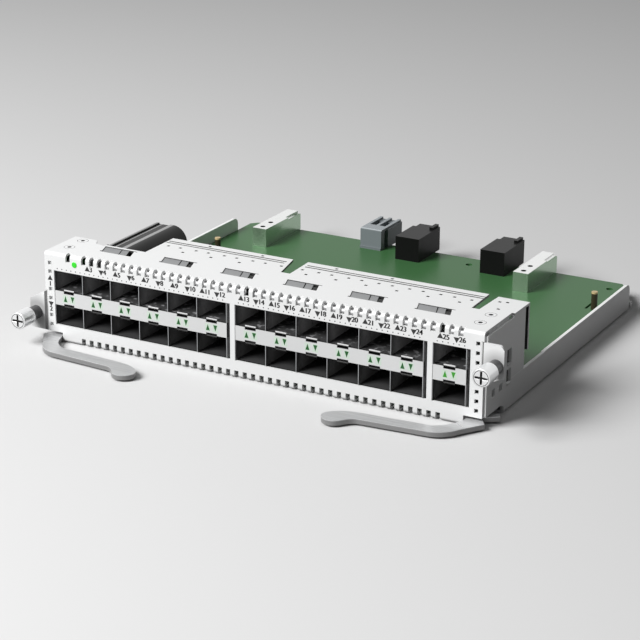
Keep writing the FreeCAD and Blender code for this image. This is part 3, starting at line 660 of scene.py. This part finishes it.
def print_flat(piece, x, z):
    """Stands a flat drawing made in XY against the panel's face, in black ink."""
    select_only(piece)
    piece.location = (x, face_y - ink_thickness / 2, z)
    piece.rotation_euler = (math.radians(90), 0, 0)
    bpy.ops.object.transform_apply(location=True, rotation=True, scale=True)
    piece.data.materials.clear()
    piece.data.materials.append(black_ink.material)
    return piece


def print_number(number, x, z, align="LEFT"):
    """Prints a number three times, a little apart, so that its strokes come out bold."""
    prints = []
    # The letters are drawn in millimetres and scaled down, which keeps their shape.
    for shift in bold_shifts:
        bpy.ops.object.text_add(location=(0, 0, 0))
        letters = bpy.context.object.data
        letters.body = str(number)
        letters.size = letter_size
        letters.space_character = letter_gap
        letters.align_x = align
        letters.align_y = "CENTER"
        letters.extrude = ink_thickness / mm / 2
        bpy.ops.object.convert(target="MESH")
        figure = bpy.context.object
        figure.scale = (mm, mm, mm)
        prints.append(print_flat(figure, x + shift, z + abs(shift) / 2))
    return prints


def print_arrow(turned):
    bpy.ops.mesh.primitive_cylinder_add(vertices=3, radius=arrow_size, depth=ink_thickness)
    arrow = bpy.context.object
    select_only(arrow)
    arrow.rotation_euler = (0, 0, turned)
    bpy.ops.object.transform_apply(rotation=True)
    return print_flat(arrow, 0, 0)


def print_dot():
    bpy.ops.mesh.primitive_cylinder_add(vertices=8, radius=dot_radius, depth=ink_thickness)
    return print_flat(bpy.context.object, 0, 0)


def repeat_at(pattern, x, z):
    """A copy of a printed mark, with its own mesh, further along the face."""
    mark = pattern.copy()
    mark.data = pattern.data.copy()
    mark.location = (x, 0, z)
    bpy.context.scene.collection.objects.link(mark)
    return mark


def print_label(arrow, number, x, z):
    return [repeat_at(arrow, x, z)] + print_number(number, x + number_gap, z)


up_arrow = print_arrow(0)
down_arrow = print_arrow(math.pi)
dot = print_dot()
marks = []
number = 1
for group, columns in groups.items():
    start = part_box(group + "_port_cage")[0].x + cage_wall
    for column in range(columns):
        left = start + column * port_pitch
        if number > 1:
            marks += print_label(up_arrow, number, left + label_offsets[0], label_z)
            marks += print_label(down_arrow, number + 1, left + label_offsets[1], label_z)
        number += 2
    for index in range(int(columns * port_pitch / dot_pitch)):
        marks.append(repeat_at(dot, start + first_dot + index * dot_pitch, dot_z))
for number, arrow, levels in zip((1, 2), (up_arrow, down_arrow), side_label_levels):
    marks.append(repeat_at(arrow, side_label_x, levels[0]))
    marks += print_number(number, side_label_x, levels[1], "CENTER")

for pattern in (up_arrow, down_arrow, dot):
    bpy.data.objects.remove(pattern)
select_only(marks[0])
for mark in marks:
    mark.select_set(True)
bpy.ops.object.transform_apply(location=True)
bpy.ops.object.join()
panel_print = bpy.context.object
panel_print.name = "panel_print"
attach(panel_print, "card")


# Levers with their rivets and brackets. Each lever is sheared from flat steel and satin
# plated, with streaks along its faces and painted shade on its sides. It turns about its rivet.
lever_color = (0.71, 0.715, 0.72)
lever_streak_color = (0.57, 0.575, 0.58)
lever_side_shade_color = (0.28, 0.28, 0.28)
lever_edge_drop = 0.25 * mm
streak_scale = (25.0, 1400.0, 25.0)
streak_level = 0.3
streak_gain = 2.0
rivet_color = (0.5, 0.5, 0.51)
bracket_color = (0.03, 0.03, 0.03)

lever_plating = Finish("lever_plating", lever_color, rough=0.35, metal=0.35)
x, y, z = lever_plating.place()
stretched = lever_plating.node("ShaderNodeCombineXYZ", {
    "X": x * streak_scale[0],
    "Y": y * streak_scale[1],
    "Z": z * streak_scale[2],
})
streak_spot = lever_plating.out(stretched, "Vector")
streak = (lever_plating.grain(streak_spot, 1.0) - streak_level) * streak_gain
# Painted shade on the lever's sides, below its top face.
lever_side_shade = z.below(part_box("right_lever")[1].z - lever_edge_drop)
lever_plating.color_in(lever_streak_color, (streak, lever_color), (lever_side_shade, lever_side_shade_color))
rivet_steel = Finish("rivet_steel", rivet_color, rough=0.35, metal=0.8)
dark_bracket = Finish("bracket_dark", bracket_color, rough=0.5)
for side in ("left", "right"):
    dress(side + "_lever", lever_plating)
    dress(side + "_lever_pin", rivet_steel)
    dress(side + "_lever_bracket", dark_bracket)


# Captive screws. A bright turned knob, with painted shade in its cross slot and in a fine
# ring on its head, slides over a dark plated sleeve in the ear. A ring on the screw's end
# keeps it in.
knob_color = (0.9, 0.905, 0.91)
knob_slot_shade_color = (0.06, 0.06, 0.06)
knob_edge = 0.1 * mm
slot_radius = 3.0 * mm
slot_depths = (0.12 * mm, 1.6 * mm)
ring_radii = (2.95 * mm, 3.2 * mm)
sleeve_color = (0.1, 0.1, 0.102)


def knob_plating(side):
    """Bright turned metal, with painted shade inside the cross slot and in the ring round it."""
    finish = Finish(side + "_knob_plating", knob_color, rough=0.3, metal=0.8)
    x, y, z = finish.place()
    low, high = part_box(side + "_thumbscrew")
    away = (x - (low.x + high.x) / 2).reach(z - (low.z + high.z) / 2)
    slot_walls = away.below(slot_radius) * y.between(low.y + slot_depths[0], low.y + slot_depths[1])
    ring = away.between(*ring_radii) * y.below(low.y + hair)
    # Painted shade in the cross slot and the ring groove.
    finish.color_in(knob_color, (slot_walls.either(ring), knob_slot_shade_color))
    return finish


sleeve_plating = Finish("sleeve_plating", sleeve_color, rough=0.3, metal=0.5)
for side in ("left", "right"):
    dress(side + "_thumbscrew", knob_plating(side), bevel=knob_edge)
    dress(side + "_screw_ferrule", sleeve_plating)
    dress(side + "_screw_clip", rivet_steel)


# Studio. A pale sheet of paper carries the card under a pale room. One large soft lamp
# stands high in front and to the left, so the cover and the face are bright.
floor_size = 6.0
floor_drop = 0.0002
floor_seen = (0.72, 0.72, 0.72)
floor_between = (0.12, 0.12, 0.12)
key_place = Vector((-0.7, -1.05, 1.03))
key_size = 0.8
key_power = 37.0
room_color = (1.0, 1.0, 1.0)
room_seen = 0.9
room_between = 0.13

bpy.ops.mesh.primitive_plane_add(size=floor_size, location=(0, 0, cad_low.z - floor_drop))
floor = bpy.context.object
floor.name = "floor"
floor_paper = Finish("floor_paper", floor_seen, rough=0.9, specular=0.0)
floor_paper.color_in(floor_between, (floor_paper.seen(), floor_seen))
floor.data.materials.append(floor_paper.material)

bpy.ops.object.light_add(type="AREA", location=key_place)
key_lamp = bpy.context.object
key_lamp.name = "key_lamp"
key_lamp.data.shape = "SQUARE"
key_lamp.data.size = key_size
key_lamp.data.energy = key_power
key_lamp.rotation_euler = (-key_place).to_track_quat("-Z", "Y").to_euler()

world = bpy.data.worlds.new("studio")
bpy.context.scene.world = world
world.use_nodes = True
room = Shading(world.node_tree)
room_strength = room_between + room.seen() * (room_seen - room_between)
room.fill(world.node_tree.nodes["Background"], {"Color": room_color, "Strength": room_strength})


# Camera. It stands to the right of the card, above it and in front of it, at the
# distance at which the ports and the rails converge as they do in the photograph.
camera_place = Vector((408.6 * mm, face_y - 697.2 * mm, 319.9 * mm))
camera_azimuth = math.radians(28.43)
camera_elevation = math.radians(19.93)
camera_roll = math.radians(0.31)
sensor_width = 36.0
focal_length = 118.65375
near_and_far = (0.05, 20.0)

bpy.ops.object.camera_add(location=camera_place)
camera = bpy.context.object
camera.name = "camera"
camera.data.sensor_width = sensor_width
camera.data.lens = focal_length
camera.data.clip_start, camera.data.clip_end = near_and_far
forward = Vector((
    -math.sin(camera_azimuth) * math.cos(camera_elevation),
    math.cos(camera_azimuth) * math.cos(camera_elevation),
    -math.sin(camera_elevation),
))
turn = forward.to_track_quat("-Z", "Y").to_matrix().to_4x4()
roll = turn.Rotation(camera_roll, 4, "Z")
camera.matrix_world = turn.Translation(camera_place) @ turn @ roll
bpy.context.scene.camera = camera
